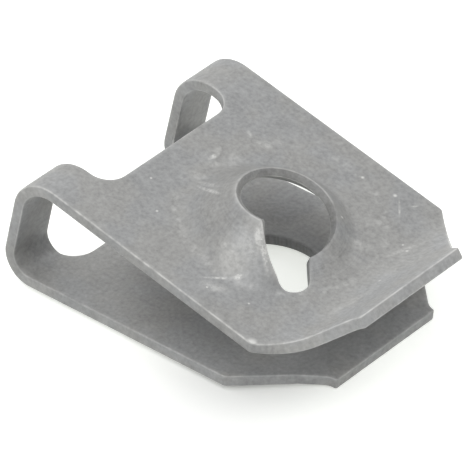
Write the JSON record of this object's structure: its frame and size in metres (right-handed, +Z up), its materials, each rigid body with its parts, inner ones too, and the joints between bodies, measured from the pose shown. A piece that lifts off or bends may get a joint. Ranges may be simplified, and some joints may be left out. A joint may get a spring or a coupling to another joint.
{
  "type": "u clip nut",
  "caption": "Folded spring steel U clip nut with a raised threaded cone in one leaf and a clearance hole in the other.",
  "frame": {"origin": "under the middle of the clip, on the surface that it rests on", "axes": "+X from the fold to the open end, +Y across the strip, +Z up through the two leaves"},
  "size_m": [0.0202, 0.014, 0.007],
  "materials": {
    "spring_steel": "grey phosphate over spring steel, dull satin, scuffed in places"
  },
  "bodies": {
    "root": {"clip": "spring_steel"}
  },
  "joints": []
}
